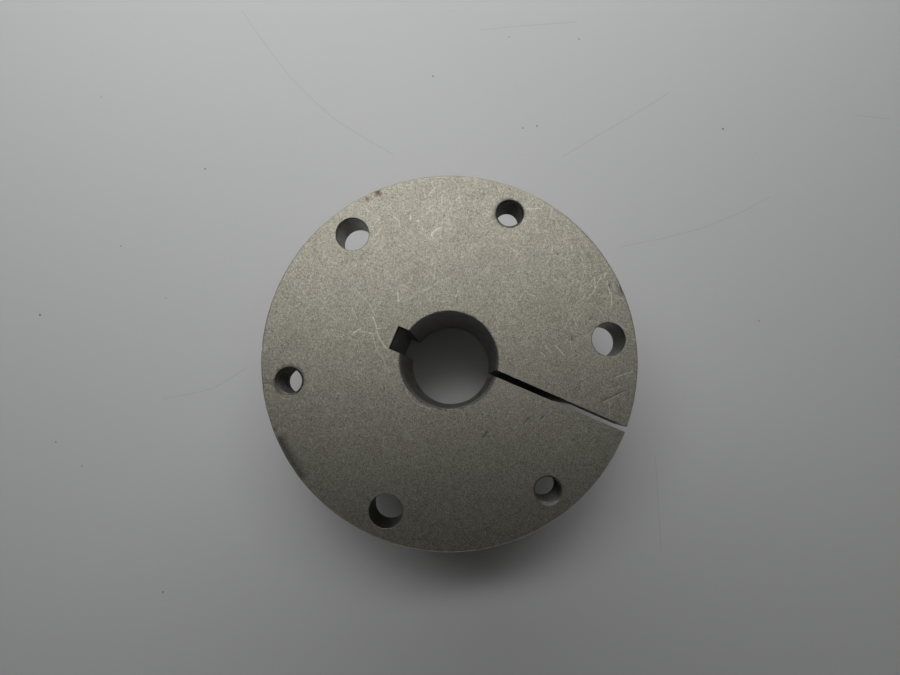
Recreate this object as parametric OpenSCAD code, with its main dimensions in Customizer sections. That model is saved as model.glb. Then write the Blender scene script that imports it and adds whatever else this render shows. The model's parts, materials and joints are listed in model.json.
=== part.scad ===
// Quick disconnect bushing: a round flange on a tapered barrel, bored and keyed for a shaft and sawn through
// along one side, so that screws drawn through the flange pull the taper into a hub and close the bore.
// Lengths are in millimetres and angles in degrees from +X. The origin is on the bore axis, at the small end
// of the barrel. +Z runs along the bore to the flange face, and the keyway is on the +Y side.

/* [Barrel] */
// Diameter of the tapered barrel where it meets the flange
barrel_large_d = 71.4375; // [60:0.0125:90]
// Length of the barrel, from its small end to the back of the flange
barrel_length = 34.925; // [25:0.025:60]
// Diameter that the barrel loses with each millimetre away from the flange
taper_rate = 0.0625; // [0.03:0.0025:0.12]
// Chamfer round the small end of the barrel
barrel_end_chamfer = 1.0; // [0.3:0.1:2.5]
// Radius of the fillet between the barrel and the back of the flange
root_fillet_r = 0.8; // [0.4:0.1:1.2]

/* [Flange] */
// Distance from the barrel, where it meets the flange, out to the circle of screw holes
barrel_to_hole_circle = 6.35; // [5.5:0.05:9]
// Distance from the circle of screw holes out to the flange's rim
hole_circle_to_rim = 7.14375; // [5.5:0.00625:12]
// Thickness of the flange
flange_thickness = 14.2875; // [9:0.0125:22]
// Edge break round both rims of the flange
flange_edge_break = 0.3; // [0.1:0.05:1.2]

/* [Bore and keyway] */
// Diameter of the bore
bore_d = 25.4; // [16:0.1:38]
// Edge break round both mouths of the bore
bore_edge_break = 0.25; // [0.1:0.05:1]
// Width of the keyway
keyway_width = 6.35; // [4:0.05:9]
// Depth of the keyway, measured up its side walls
keyway_side_depth = 3.3; // [2:0.05:5]

/* [Screw holes] */
// Number of clearance holes, and of tapped holes between them
holes_of_each_kind = 3; // [3:1:4]
// Diameter of the clearance holes, which the draw-in screws pass through
clearance_hole_d = 8.73; // [7:0.01:9.5]
// Edge break at both mouths of each clearance hole
clearance_edge_break = 0.15; // [0.05:0.05:0.4]
// Outer diameter of the thread in the tapped holes, which the puller screws turn in
thread_d = 7.9375; // [6:0.0125:9]
// Distance from one thread to the next
thread_pitch = 1.4111; // [0.8:0.0001:1.6]
// Countersink at both mouths of each tapped hole
tapped_countersink = 0.5; // [0.2:0.05:0.8]

/* [Saw cut] */
// Width of the saw cut
saw_width = 1.6; // [0.8:0.1:3]
// Distance of the saw cut from the plane through the keyway's middle, at the bore axis
saw_offset = 1.9; // [0:0.1:4]
// Angle by which the saw cut leans back towards that plane
saw_lean = 0.7; // [0:0.1:2]

/* [Hidden] */
$fn = 96;

STEEL_GREY = [0.60, 0.58, 0.51];

// Length by which a cutting shape runs past the face that it opens
past = 1;

// The bushing's levels along the bore
flange_back_z = barrel_length;
flange_face_z = flange_back_z + flange_thickness;

// The barrel's radii, and the half angle of its taper
barrel_large_r = barrel_large_d / 2;
barrel_small_r = barrel_large_r - barrel_length * taper_rate / 2;
taper_angle = atan(taper_rate / 2);

// Radius of the circle that all the screw holes lie on, and of the flange
hole_circle_r = barrel_large_r + barrel_to_hole_circle;
flange_r = hole_circle_r + hole_circle_to_rim;

// The keyway's floor, as a distance from the bore axis
keyway_floor_y = sqrt(pow(bore_d / 2, 2) - pow(keyway_width / 2, 2)) + keyway_side_depth;

// The tapped holes before threading, and the angle from one hole to the next of its kind
tap_drill_d = thread_d - thread_pitch;
hole_step = 360 / holes_of_each_kind;
// The keyway lies midway between a clearance hole and a tapped hole
keyway_angle = 90;
first_clearance_angle = keyway_angle - hole_step / 4;
first_tapped_angle = first_clearance_angle + hole_step / 2;

// Radius of the tapered barrel at a height z
function barrel_r(z) = barrel_small_r + z * taper_rate / 2;

// Half section of the turned blank, to the right of the bore axis
module blank_section() {
    polygon([
        [0, 0],
        [barrel_small_r - barrel_end_chamfer, 0],
        [barrel_r(barrel_end_chamfer), barrel_end_chamfer],
        [barrel_large_r, flange_back_z],
        [flange_r - flange_edge_break, flange_back_z],
        [flange_r, flange_back_z + flange_edge_break],
        [flange_r, flange_face_z - flange_edge_break],
        [flange_r - flange_edge_break, flange_face_z],
        [0, flange_face_z]
    ]);
    root_fillet_section();
}

// Half section of the fillet in the corner between the barrel and the flange, tangent to both. It reaches into
// both of them, so that all three join into one outline.
module root_fillet_section() {
    center_z = flange_back_z - root_fillet_r;
    center_r = barrel_r(center_z) + root_fillet_r / cos(taper_angle);
    tangent_r = center_r - root_fillet_r * cos(taper_angle);
    tangent_z = center_z + root_fillet_r * sin(taper_angle);
    difference() {
        polygon([
            [tangent_r - root_fillet_r, tangent_z],
            [tangent_r, tangent_z],
            [center_r, center_z],
            [center_r, flange_back_z + root_fillet_r],
            [tangent_r - root_fillet_r, flange_back_z + root_fillet_r]
        ]);
        translate([center_r, center_z]) circle(r = root_fillet_r);
    }
}

// Cutting shape of a round hole with an edge break at both mouths
module round_hole(diameter, edge_break, low_z, high_z) {
    translate([0, 0, low_z - past]) cylinder(d = diameter, h = high_z - low_z + 2 * past);
    translate([0, 0, low_z]) mouth(diameter, edge_break);
    translate([0, 0, high_z]) mirror([0, 0, 1]) mouth(diameter, edge_break);
}

// Cutting shape of the 45 degree edge break at a hole's lower mouth, which is at z = 0
module mouth(diameter, edge_break) {
    translate([0, 0, -past])
        cylinder(d1 = diameter + 2 * (edge_break + past), d2 = diameter, h = edge_break + past);
}

// Places its children round the circle of screw holes
module round_hole_circle(first_angle) {
    for (i = [0 : holes_of_each_kind - 1])
        rotate([0, 0, first_angle + i * hole_step]) translate([hole_circle_r, 0, 0]) children();
}

module bore() {
    round_hole(bore_d, bore_edge_break, 0, flange_face_z);
}

module keyway() {
    rotate([0, 0, keyway_angle])
        translate([0, -keyway_width / 2, -past])
            cube([keyway_floor_y, keyway_width, flange_face_z + 2 * past]);
}

module clearance_holes() {
    round_hole_circle(first_clearance_angle)
        round_hole(clearance_hole_d, clearance_edge_break, flange_back_z, flange_face_z);
}

module tapped_holes() {
    round_hole_circle(first_tapped_angle)
        round_hole(tap_drill_d, tapped_countersink, flange_back_z, flange_face_z);
}

// The saw cut runs from the bore out through the barrel and the flange, opposite the keyway
module saw_cut() {
    rotate([0, 0, keyway_angle + 180])
        translate([0, saw_offset, 0])
            rotate([0, 0, -saw_lean])
                translate([0, -saw_width / 2, -past])
                    cube([flange_r + past, saw_width, flange_face_z + 2 * past]);
}

module bushing() {
    color(STEEL_GREY)
        difference() {
            rotate_extrude() blank_section();
            bore();
            keyway();
            clearance_holes();
            tapped_holes();
            saw_cut();
        }
}

bushing();
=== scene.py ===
"""The looks of a quick disconnect bushing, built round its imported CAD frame.

Lengths are in millimetres until the mesh is made, and angles in radians unless a name ends in _deg. The part
stands on the small end of its barrel at z = 0, with the bore along +Z, the keyway towards +Y and the saw cut
towards -Y. The bushing is one piece: its surfaces are made one by one and welded into one closed mesh.
"""
import json
import math

import bmesh
import bpy
import numpy as np
from mathutils import Matrix, Vector, geometry, kdtree


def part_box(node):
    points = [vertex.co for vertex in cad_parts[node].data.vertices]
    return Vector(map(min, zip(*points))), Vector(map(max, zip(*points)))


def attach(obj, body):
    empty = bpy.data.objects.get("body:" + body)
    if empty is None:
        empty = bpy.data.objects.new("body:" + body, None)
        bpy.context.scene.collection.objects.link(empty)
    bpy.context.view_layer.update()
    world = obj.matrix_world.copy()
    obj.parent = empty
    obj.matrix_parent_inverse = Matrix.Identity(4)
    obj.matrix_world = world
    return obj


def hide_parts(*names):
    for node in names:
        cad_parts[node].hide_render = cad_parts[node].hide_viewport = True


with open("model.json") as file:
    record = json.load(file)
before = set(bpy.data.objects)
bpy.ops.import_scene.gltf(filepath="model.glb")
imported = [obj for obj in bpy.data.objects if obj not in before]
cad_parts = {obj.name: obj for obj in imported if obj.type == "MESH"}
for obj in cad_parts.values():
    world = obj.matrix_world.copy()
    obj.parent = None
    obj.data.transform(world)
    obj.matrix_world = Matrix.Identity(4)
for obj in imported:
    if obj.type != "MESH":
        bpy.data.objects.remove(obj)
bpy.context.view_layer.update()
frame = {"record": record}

METRES = 0.001

# Sizes that the frame gives
mounts = {mount["name"]: mount for mount in frame["record"]["mounts"]}
BORE_R = mounts["shaft_bore"]["dims"]["r_mm"]
HOLE_CIRCLE_R = mounts["draw_in_screw_holes"]["dims"]["pcd_mm"] / 2
CLEARANCE_R = mounts["draw_in_screw_holes"]["dims"]["hole_r_mm"]
TAP_DRILL_R = mounts["puller_screw_holes"]["dims"]["hole_r_mm"]
HOLES = mounts["draw_in_screw_holes"]["dims"]["count"]
BACK_Z = mounts["flange_back"]["pos_m"][2] / METRES
FACE_Z = mounts["flange_face"]["pos_m"][2] / METRES
FLANGE_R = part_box("bushing")[1].x / METRES

# Sizes that the frame doesn't state, as in the part's source
BARREL_LARGE_R = 71.4375 / 2
TAPER_RATE = 0.0625
BARREL_CHAMFER = 1.0
ROOT_FILLET_R = 0.8
RIM_BREAK = 0.3
BORE_BREAK = 0.25
KEYWAY_BREAK = 0.1
KEYWAY_HALF = 6.35 / 2
KEYWAY_FLOOR_Y = math.sqrt(BORE_R ** 2 - KEYWAY_HALF ** 2) + 3.3
CLEARANCE_BREAK = 0.15
COUNTERSINK = 0.5
THREAD_PITCH = 25.4 / 18
THREAD_R = 7.9375 / 2
FIRST_CLEARANCE_DEG = 60
FIRST_TAPPED_DEG = 0
# The saw cut's two walls, as distance from the keyway's middle plane at the bore axis, and lean back towards it in
# degrees. The cut has been squeezed a little, so it narrows from 1.8 mm at the bore to 1.3 mm at the rim.
SAW_WALLS = {1: (2.71, 1.15), -1: (0.81, 0.57)}

# Fineness of the mesh
RIM_COLUMNS = 720
BARREL_COLUMNS = 360
BORE_COLUMNS = 96
CLEARANCE_COLUMNS = 72
TAPPED_COLUMNS = 56
SAW_EDGE_STEP = 0.5
FACE_STEP = 1.0
HIDDEN_STEP = 1.6
CORNER_STEPS = 4
# How far a broken edge bulges from a flat chamfer towards the sharp corner
CORNER_BULGE = 0.35

# The camera, solved from the outlines of the flange, the bore and the holes in the photograph
PHOTO_W, PHOTO_H = 900, 675
FOCAL_PX = 662.1
SENSOR_MM = 36
PHOTO_TURN_DEG = 67.4
CAMERA_TILT_X = -0.0728
CAMERA_TILT_Y = -0.0135
CAMERA_SHIFT = (-0.334, -5.900, -172.84)

TOP, WALL, BORE, KEYWAY, SAWN, DRILLED = range(6)


def camera_matrix():
    """The camera's matrix in the part's frame, in millimetres."""
    turn = Matrix.Rotation(math.radians(PHOTO_TURN_DEG), 4, "Z")
    tilt = Matrix.Rotation(CAMERA_TILT_X, 4, "X") @ Matrix.Rotation(CAMERA_TILT_Y, 4, "Y")
    to_camera = Matrix.Translation(CAMERA_SHIFT) @ tilt @ turn @ Matrix.Translation((0, 0, -FACE_Z))
    return to_camera.inverted()


def on_face(pixel, level=FACE_Z):
    """The point at the flange face's level, or another, that a pixel of the photograph shows, as (x, y)."""
    matrix = camera_matrix()
    eye = matrix.translation
    across = (pixel[0] - PHOTO_W / 2) / FOCAL_PX
    down = (pixel[1] - PHOTO_H / 2) / FOCAL_PX
    ray = matrix.to_3x3() @ Vector((across, -down, -1))
    hit = eye + ray * ((level - eye.z) / ray.z)
    return hit.x, hit.y


# Wear that the photograph shows, with a painted highlight by the bore's lower edge, by its pixels: half width and depth
# in millimetres, and tone from 0 to 1
PALE_SCRATCHES = {
    "left_long_upper": (0.18, 0.006, 0.62, [(360, 294), (366, 299), (370, 305), (375, 315)]),
    "left_long_middle": (0.26, 0.008, 1, [(373.5, 318), (375.5, 324), (377, 329)]),
    "left_long_lower": (0.26, 0.008, 1, [(377, 332), (380, 339), (386, 348)]),
    "left_branch": (0.18, 0.006, 0.69, [(372.5, 334), (375, 344), (379, 355)]),
    "left_by_bore": (0.21, 0.006, 0.62, [(382, 355), (386, 367), (390, 372)]),
    "left_hook": (0.2, 0.006, 0.81, [(360, 330), (366, 332), (374, 333.5)]),
    "left_dash": (0.26, 0.008, 1, [(354.5, 332), (360.5, 328.5)]),
    "left_tail": (0.16, 0.006, 0.56, [(356, 345), (359, 338), (364, 335)]),
    "left_stroke": (0.18, 0.006, 0.69, [(352, 307), (355, 314), (357.5, 319)]),
    "left_dot": (0.26, 0.008, 1, [(378, 328.5), (380, 328.3)]),
    "left_far_a": (0.16, 0.006, 0.56, [(333.5, 311), (338, 321)]),
    "left_far_b": (0.16, 0.006, 0.5, [(308, 319), (315, 314.5)]),
    "left_far_c": (0.16, 0.006, 0.56, [(309.5, 281), (311, 276)]),
    "left_far_d": (0.16, 0.006, 0.5, [(315.5, 355), (316.5, 344)]),
    "middle_dash": (0.21, 0.008, 1, [(397.5, 292), (398.5, 299)]),
    "middle_long": (0.16, 0.006, 0.5, [(428, 289), (438, 282), (450, 277.5)]),
    "middle_patch": (0.39, 0.006, 0.56, [(426, 289.5), (429, 288)]),
    "middle_upright": (0.16, 0.006, 0.5, [(435, 269), (434.5, 279)]),
    "top_stroke": (0.31, 0.008, 0.62, [(436, 187.5), (432, 191), (428.5, 195.4)]),
    "top_wedge": (0.34, 0.008, 0.75, [(440.7, 227.6), (435, 230), (432.3, 233), (431.8, 236)]),
    "top_left_bend": (0.21, 0.006, 0.56, [(395, 217.3), (398.7, 221), (400, 223.9)]),
    "top_left_dot": (0.26, 0.008, 0.81, [(410.3, 216.4), (410.3, 219.2)]),
    "top_left_patch": (0.34, 0.006, 0.62, [(417.5, 220.8), (419, 220.4)]),
    "top_short": (0.21, 0.006, 0.56, [(451.4, 207), (448.6, 212.2)]),
    "top_thin": (0.16, 0.006, 0.5, [(458.9, 192), (459.3, 197.3)]),
    "by_hole_level": (0.21, 0.006, 0.62, [(526.1, 208.9), (540.1, 208.4)]),
    "by_hole_lower": (0.16, 0.006, 0.5, [(528, 217.7), (535.5, 218.2)]),
    "upper_a": (0.18, 0.006, 0.56, [(519.1, 252.7), (515.4, 256)]),
    "upper_b": (0.18, 0.006, 0.62, [(532.2, 269.5), (528, 272.3)]),
    "upper_c": (0.16, 0.006, 0.62, [(552.3, 246.7), (552.7, 251.3)]),
    "upper_dot": (0.23, 0.006, 0.88, [(571.6, 246), (571.5, 247.2)]),
    "right_long_upper": (0.17, 0.006, 0.62, [(584, 272.8), (581.2, 284), (579.3, 293.3)]),
    "right_long_lower": (0.18, 0.006, 0.56, [(576.5, 302.7), (571.9, 314.8), (567.2, 322.3), (565.3, 327)]),
    "right_cross": (0.17, 0.006, 0.62, [(571.9, 312), (574.5, 320), (577.5, 327.9)]),
    "right_cross_short": (0.17, 0.006, 0.62, [(582.1, 313), (579.3, 316.7)]),
    "right_thin_a": (0.16, 0.006, 0.56, [(560.7, 280.3), (561.1, 285.9)]),
    "right_thin_b": (0.16, 0.006, 0.5, [(566.3, 285.9), (570, 288.7)]),
    "right_upright_a": (0.2, 0.006, 0.88, [(594.7, 277.5), (595.2, 289.6)]),
    "right_upright_b": (0.18, 0.006, 0.69, [(595.2, 289.6), (591, 295), (587.7, 298.9)]),
    "right_patch_a": (0.34, 0.006, 0.88, [(605.4, 273.4), (604.6, 276)]),
    "right_patch_b": (0.29, 0.006, 0.88, [(600.5, 278), (599.5, 279.6)]),
    "right_down_a": (0.21, 0.008, 0.94, [(606.9, 280.3), (608.7, 289.6), (611, 294.3)]),
    "right_down_b": (0.22, 0.01, 1, [(611.4, 293), (611.5, 305.5)]),
    "right_low": (0.18, 0.006, 0.56, [(597.5, 308.3), (603.6, 315.7)]),
    "right_short": (0.26, 0.012, 1, [(556.1, 345.9), (563.5, 354.4)]),
    "right_dash_a": (0.21, 0.008, 0.88, [(546.5, 346.4), (549.9, 351)]),
    "right_dash_b": (0.21, 0.008, 0.88, [(542, 353.2), (544.8, 356)]),
    "right_edge": (0.21, 0.008, 0.94, [(616.2, 377), (630.9, 371.9)]),
    "right_faint": (0.17, 0.006, 0.56, [(611.1, 388.9), (619.6, 386.7)]),
    "below_dark": (0.17, 0.006, 0.75, [(604.6, 401.6), (622, 393)]),
    "rim_dash": (0.21, 0.006, 0.75, [(633, 339.5), (637, 339.4)]),
}
DARK_SCRATCHES = {
    "rim_right": (0.13, 0.008, 1.0, [(603.7, 400.3), (613, 396.2), (623, 391.2)]),
    "left_crack": (0.11, 0.01, 1.0, [(260.5, 384.8), (268, 383)]),
    "lower_left_of_cut": (0.4, 0.02, 0.9, [(483, 437), (487, 432)]),
    "below_cut_a": (0.22, 0.02, 0.9, [(524.4, 422.9), (528.9, 418.2)]),
    "below_cut_b": (0.24, 0.02, 0.85, [(540.8, 419), (544, 415.6)]),
    "above_cut": (0.2, 0.02, 0.6, [(579.9, 382.1), (579.4, 390)]),
    "low_right": (0.2, 0.02, 0.6, [(584.5, 466), (590, 465.4)]),
}
PITS = {
    "by_rim_chip": (609.4, 285.4, 0.42, 0.04, 1.0),
    "left_of_rim": (272.4, 351.2, 0.22, 0.03, 0.9),
    "upper_right": (557.9, 253.9, 0.4, 0.02, 0.9),
    "upper_right_low": (526.9, 274, 0.34, 0.03, 0.9),
    "right_middle": (571.9, 339, 0.55, 0.02, 0.7),
    "right_middle_b": (566, 338, 0.3, 0.02, 0.5),
    "right_by_hole": (578.2, 336.7, 0.3, 0.03, 0.8),
    "right_high": (598.5, 292.6, 0.3, 0.03, 0.8),
    "right_a": (565, 292, 0.25, 0.03, 0.7),
    "right_b": (590, 319.2, 0.27, 0.03, 0.8),
    "right_c": (577.9, 256.5, 0.3, 0.02, 0.5),
    "top_a": (393.5, 197.7, 0.26, 0.02, 0.7),
    "top_b": (483.8, 194.2, 0.3, 0.02, 0.8),
    "top_c": (485.9, 235.3, 0.24, 0.02, 0.8),
    "middle_low": (369, 420.5, 0.28, 0.03, 0.8),
    "low_a": (572.6, 441, 0.26, 0.02, 0.7),
    "low_b": (569.7, 473.4, 0.28, 0.02, 0.7),
    "left_low": (381, 390, 0.28, 0.02, 0.6),
}
# Broad dark smears by the rim, as half width, tone and pixels
SMEARS = {
    "lower_left": (2.2, 0.9, [(281, 440), (289, 456), (301, 475)]),
    "lower_left_edge": (1.0, 0.9, [(279, 439), (286, 453)]),
    "upper_right_rim": (0.5, 0.35, [(586, 252), (590, 256)]),
    "right_rim": (0.45, 1.0, [(620.6, 286), (622.6, 289.5), (625.2, 294.5)]),
    "right_rim_start": (0.5, 0.9, [(620.8, 286), (621.8, 288)]),
}
RIM_CHIPS = {
    "right": (623, 290, 1.4, 0.25, 0.6),
    "upper_left": (378, 192, 0.55, 0.4, 0.6),
    "upper_left_small": (367, 197.5, 0.3, 0.2, 0.5),
    "left_nick": (262.5, 349, 0.7, 0.4, 0.0),
    "left_low": (267, 369, 0.3, 0.2, 0.0),
    "left_crack": (261, 384.7, 0.25, 0.2, 0.9),
    "bottom_a": (422.6, 551, 0.45, 0.45, 0.9),
    "bottom_b": (493, 547.5, 0.4, 0.35, 0.9),
    "bottom_c": (501, 545.5, 0.45, 0.45, 0.95),
    "bottom_d": (510, 542.5, 0.4, 0.35, 0.9),
    "right_spot_a": (629.3, 307.3, 0.3, 0.2, 0.9),
    "right_spot_b": (632.2, 318.5, 0.35, 0.2, 0.9),
    "right_high": (610, 262, 0.4, 0.2, 0.3),
    "upper_right": (587.5, 236.5, 0.35, 0.2, 0.7),
    "right_low": (633, 356, 0.35, 0.2, 0.2),
}
RUST_SPOTS = {
    "upper_left": (378, 192.5, 0.75, 1.0),
    "upper_left_small": (367, 198, 0.35, 0.7),
    "lower_left": (273, 429.6, 0.6, 0.7),
}
# Pale burrs, as pixels, radius in millimetres and tone; the two by the bore's lower edge are partly a painted highlight
PALE_BURRS_AND_HIGHLIGHT = {
    "bore_left": (424, 409.6, 0.4, 1.0),
    "bore_left_tail": (414, 408.8, 0.25, 0.7),
    "bottom_a": (432, 551.6, 0.5, 0.6),
    "bottom_b": (446, 552.2, 0.5, 0.5),
    "bottom_c": (458, 552.4, 0.5, 0.5),
    "bottom_d": (473, 551.8, 0.5, 0.5),
    "left_nick": (262.8, 348.5, 0.7, 0.8),
}
# Pale burrs and a painted highlight along the bore's lower edge, as half width, tone and pixels
BORE_BURRS_AND_HIGHLIGHT = {
    "left": (0.14, 0.7, [(408, 394.5), (412, 399.5), (417.5, 404)]),
    "left_bright": (0.2, 1.0, [(421, 405.6), (425, 407), (429, 408.3)]),
    "middle_a": (0.16, 1.0, [(434, 408.8), (437, 409.2)]),
    "middle_b": (0.16, 1.0, [(440.5, 409.4), (443, 409.6)]),
    "middle_c": (0.13, 0.6, [(446, 409.8), (452, 409.9)]),
    "middle_d": (0.16, 1.0, [(454.5, 409.8), (458, 409.4)]),
    "right": (0.14, 0.8, [(463, 408.4), (470, 405.8)]),
    "right_end": (0.13, 0.8, [(472, 404.8), (476, 402.2)]),
}

# Faint hairlines and small specks on the floor, by the photograph's pixels. A speck has a radius in millimetres.
FLOOR_LINES = {
    "long_arc": [(242, 11), (267, 47), (292, 79), (315, 102), (337, 121), (366, 139), (394, 155)],
    "right": [(619, 247), (661, 239), (703, 228), (740, 213), (770, 197)],
    "upper_right": [(562, 157), (606, 131), (647, 107), (669, 93)],
    "lower_right": [(655, 456), (657, 480), (659, 515), (661, 551)],
    "left": [(163, 399), (190, 394), (214, 388), (247, 368)],
    "far_right": [(855, 115), (889, 119)],
    "top": [(480, 30), (520, 26), (577, 22)],
}
FLOOR_SPECKS = {
    "pair_a": (537, 126, 0.8),
    "pair_b": (523, 128, 0.6),
    "upper_right": (723, 129, 0.7),
    "top_middle": (433, 76, 0.6),
    "top_right": (579, 39, 0.7),
    "top": (509, 37, 0.5),
    "upper_left": (205, 169, 0.6),
    "left": (40, 315, 0.8),
    "left_middle": (166, 298, 0.5),
    "left_low": (82, 466, 0.6),
    "left_lower": (56, 442, 0.5),
    "low_left": (163, 592, 0.6),
    "right": (759, 321, 0.6),
    "far_left": (101, 97, 0.5),
    "near_left": (121, 246, 0.5),
}

# Painted shade in the mouth of each tapped hole, darkening its countersink, in the order of hole_centers
MOUTH_SHADE = (0.75, 0.85, 0.3)

# Small scratches scattered over the flange face, more of them on the side that is up and right in the photograph
SCATTERED_SCRATCHES = 420
SCATTERED_PITS = 90
SEED = 7


def saw_wall(side):
    """Where one wall of the saw cut starts in plan, and its directions outwards and across, towards +X."""
    offset, lean_deg = SAW_WALLS[side]
    angle = math.radians(270 - lean_deg)
    along = np.array((math.cos(angle), math.sin(angle)))
    return np.array((offset, 0.0)), along, np.array((-along[1], along[0]))


def saw_wall_angle(radius, side):
    """Polar angle, from 3/2 pi on, at which a circle meets the saw cut's wall on one side, +1 or -1."""
    start, along, across = saw_wall(side)
    reach = -start @ along + np.sqrt(np.asarray(radius) ** 2 - (start @ across) ** 2)
    x = start[0] + reach * along[0]
    y = start[1] + reach * along[1]
    return np.arctan2(y, x) % math.tau


def wobble(angle, seed, lowest=3, highest=160):
    """Smooth random value round the part, mostly from -1 to 1, the same each run."""
    rng = np.random.default_rng(seed)
    waves = np.unique(np.geomspace(lowest, highest, 24).astype(int))
    total = np.zeros_like(angle, dtype=float)
    for wave in waves:
        total += rng.normal() * np.sin(wave * angle + rng.uniform(0, math.tau))
    return total / math.sqrt(len(waves))


def barrel_radius(z):
    """Radius of the tapered barrel at a height."""
    return BARREL_LARGE_R - (BACK_Z - z) * TAPER_RATE / 2


def corner(start, sharp, end, steps=CORNER_STEPS):
    """Points of a broken edge from start to end, bulging from the chamfer towards the sharp corner."""
    start, sharp, end = (np.asarray(p, dtype=float) for p in (start, sharp, end))
    points = []
    for share in np.linspace(0, 1, steps + 1):
        bulge = CORNER_BULGE * 4 * share * (1 - share)
        points.append(start + share * (end - start) + bulge * (sharp - (start + end) / 2))
    return points


def straight(start, end, count):
    """Points between start and end, without both of them."""
    start, end = np.asarray(start, dtype=float), np.asarray(end, dtype=float)
    return [start + (end - start) * i / (count + 1) for i in range(1, count + 1)]


class Skin:
    """Surfaces of one solid, gathered one by one and welded at the end."""

    def __init__(self):
        self.points = []
        self.faces = []
        self.patch = []
        self.finish = []
        self.size = 0
        self.patches = 0

    def add(self, points, faces, finish):
        """Adds one surface: its points, its faces as tuples of their indices, and its finish."""
        self.points.append(points)
        self.faces += [tuple(int(i) + self.size for i in face) for face in faces]
        self.patch += [self.patches] * len(faces)
        self.finish += [finish] * len(faces)
        self.size += len(points)
        self.patches += 1

    def grid(self, rows, finish):
        """Adds a surface from an array of rows of points."""
        high, wide = rows.shape[:2]
        index = np.arange(high * wide).reshape(high, wide)
        quads = np.stack([index[:-1, :-1], index[:-1, 1:], index[1:, 1:], index[1:, :-1]], axis=-1)
        self.add(rows.reshape(-1, 3), quads.reshape(-1, 4), finish)


def swept(section, columns):
    """Rows of points round the part, from the saw cut's + wall round to its - wall.

    section is a list of (radius, z), each a number or an array with one value for each column."""
    share = np.linspace(0, 1, columns + 1)
    radius = np.array([np.broadcast_to(r, share.shape) for r, z in section])
    height = np.array([np.broadcast_to(z, share.shape) for r, z in section])
    first = saw_wall_angle(radius[:, :1], 1)
    last = saw_wall_angle(radius[:, -1:], -1) + math.tau
    angle = first + share * (last - first)
    return np.stack([radius * np.cos(angle), radius * np.sin(angle), height], axis=-1)


def column_angles(radius, columns):
    """The polar angles of the columns that swept() makes at one radius."""
    first = saw_wall_angle(radius, 1)
    last = saw_wall_angle(radius, -1) + math.tau
    return np.linspace(first, last, columns + 1)


def rim_break_upper(angle):
    """Edge break of the flange's upper rim, wider at each chip."""
    depth = RIM_BREAK * (1 + 0.22 * wobble(angle, 11, 12, 300))
    for x, y, half_width, reach, tone in RIM_CHIPS.values():
        where = math.atan2(*reversed(on_face((x, y))))
        away = np.angle(np.exp(1j * (angle - where))) * FLANGE_R
        depth = depth + reach * np.exp(-(away / half_width) ** 2 * 2)
    return np.clip(depth, 0.12, None)


def rim_break_lower(angle):
    """Edge break of the flange's lower rim, with a few small dings."""
    dings = np.clip(wobble(angle, 23, 20, 200) - 1.6, 0, None)
    return RIM_BREAK * (1 + 0.2 * wobble(angle, 12, 12, 300)) + 0.5 * dings


def make_rim():
    """Rows of the flange's rim, from the face down to the back."""
    angle = column_angles(FLANGE_R, RIM_COLUMNS)
    upper = rim_break_upper(angle)
    lower = np.clip(rim_break_lower(angle), 0.12, None)
    full = np.full_like(angle, FLANGE_R)
    face = np.full_like(angle, FACE_Z)
    back = np.full_like(angle, BACK_Z)
    section = corner((full - upper, face), (full, face), (full, face - upper))
    section += straight((full, face - upper), (full, back + lower), 9)
    section += corner((full, back + lower), (full, back), (full - lower, back))
    return swept(section, RIM_COLUMNS)


def make_barrel():
    """Rows of the barrel, from its root fillet on the flange's back down to the small end."""
    taper = math.atan(TAPER_RATE / 2)
    center_z = BACK_Z - ROOT_FILLET_R
    center_r = barrel_radius(center_z) + ROOT_FILLET_R / math.cos(taper)
    section = []
    for turn in np.linspace(math.pi / 2, math.pi - taper, 7):
        section.append((center_r + ROOT_FILLET_R * math.cos(turn), center_z + ROOT_FILLET_R * math.sin(turn)))
    soft = 0.2
    chamfer_top = np.array((barrel_radius(BARREL_CHAMFER), BARREL_CHAMFER))
    chamfer_low = np.array((barrel_radius(0) - BARREL_CHAMFER, 0.0))
    slope = (chamfer_low - chamfer_top) / np.linalg.norm(chamfer_low - chamfer_top)
    above = np.array((barrel_radius(BARREL_CHAMFER + soft), BARREL_CHAMFER + soft))
    inside = chamfer_low - (soft, 0)
    section += straight(section[-1], above, 28)
    section += corner(above, chamfer_top, chamfer_top + slope * soft, 3)
    section += straight(chamfer_top + slope * soft, chamfer_low - slope * soft, 2)
    section += corner(chamfer_low - slope * soft, chamfer_low, inside, 3)
    return swept(section, BARREL_COLUMNS)


def bore_levels():
    """Levels down the bore, as (z, widening of the bore, widening of the keyway)."""
    levels = []
    for out, drop in corner((BORE_BREAK, 0), (0, 0), (0, BORE_BREAK)):
        levels.append((FACE_Z - drop, out, out * KEYWAY_BREAK / BORE_BREAK))
    count = 40
    top, low = FACE_Z - BORE_BREAK, BORE_BREAK
    levels += [(top + (low - top) * i / count, 0.0, 0.0) for i in range(1, count)]
    for out, rise in reversed(corner((BORE_BREAK, 0), (0, 0), (0, BORE_BREAK))):
        levels.append((rise, out, out * KEYWAY_BREAK / BORE_BREAK))
    return levels


def ragged(line, seed):
    """Random widening of an edge along a line of angles or places, 1 on average and 1 at both ends."""
    share = np.linspace(0, 1, len(line))
    return np.clip(1 + 0.45 * wobble(line, seed, 30, 260) * np.minimum(1, 12 * share * (1 - share)), 0.3, None)


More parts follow.
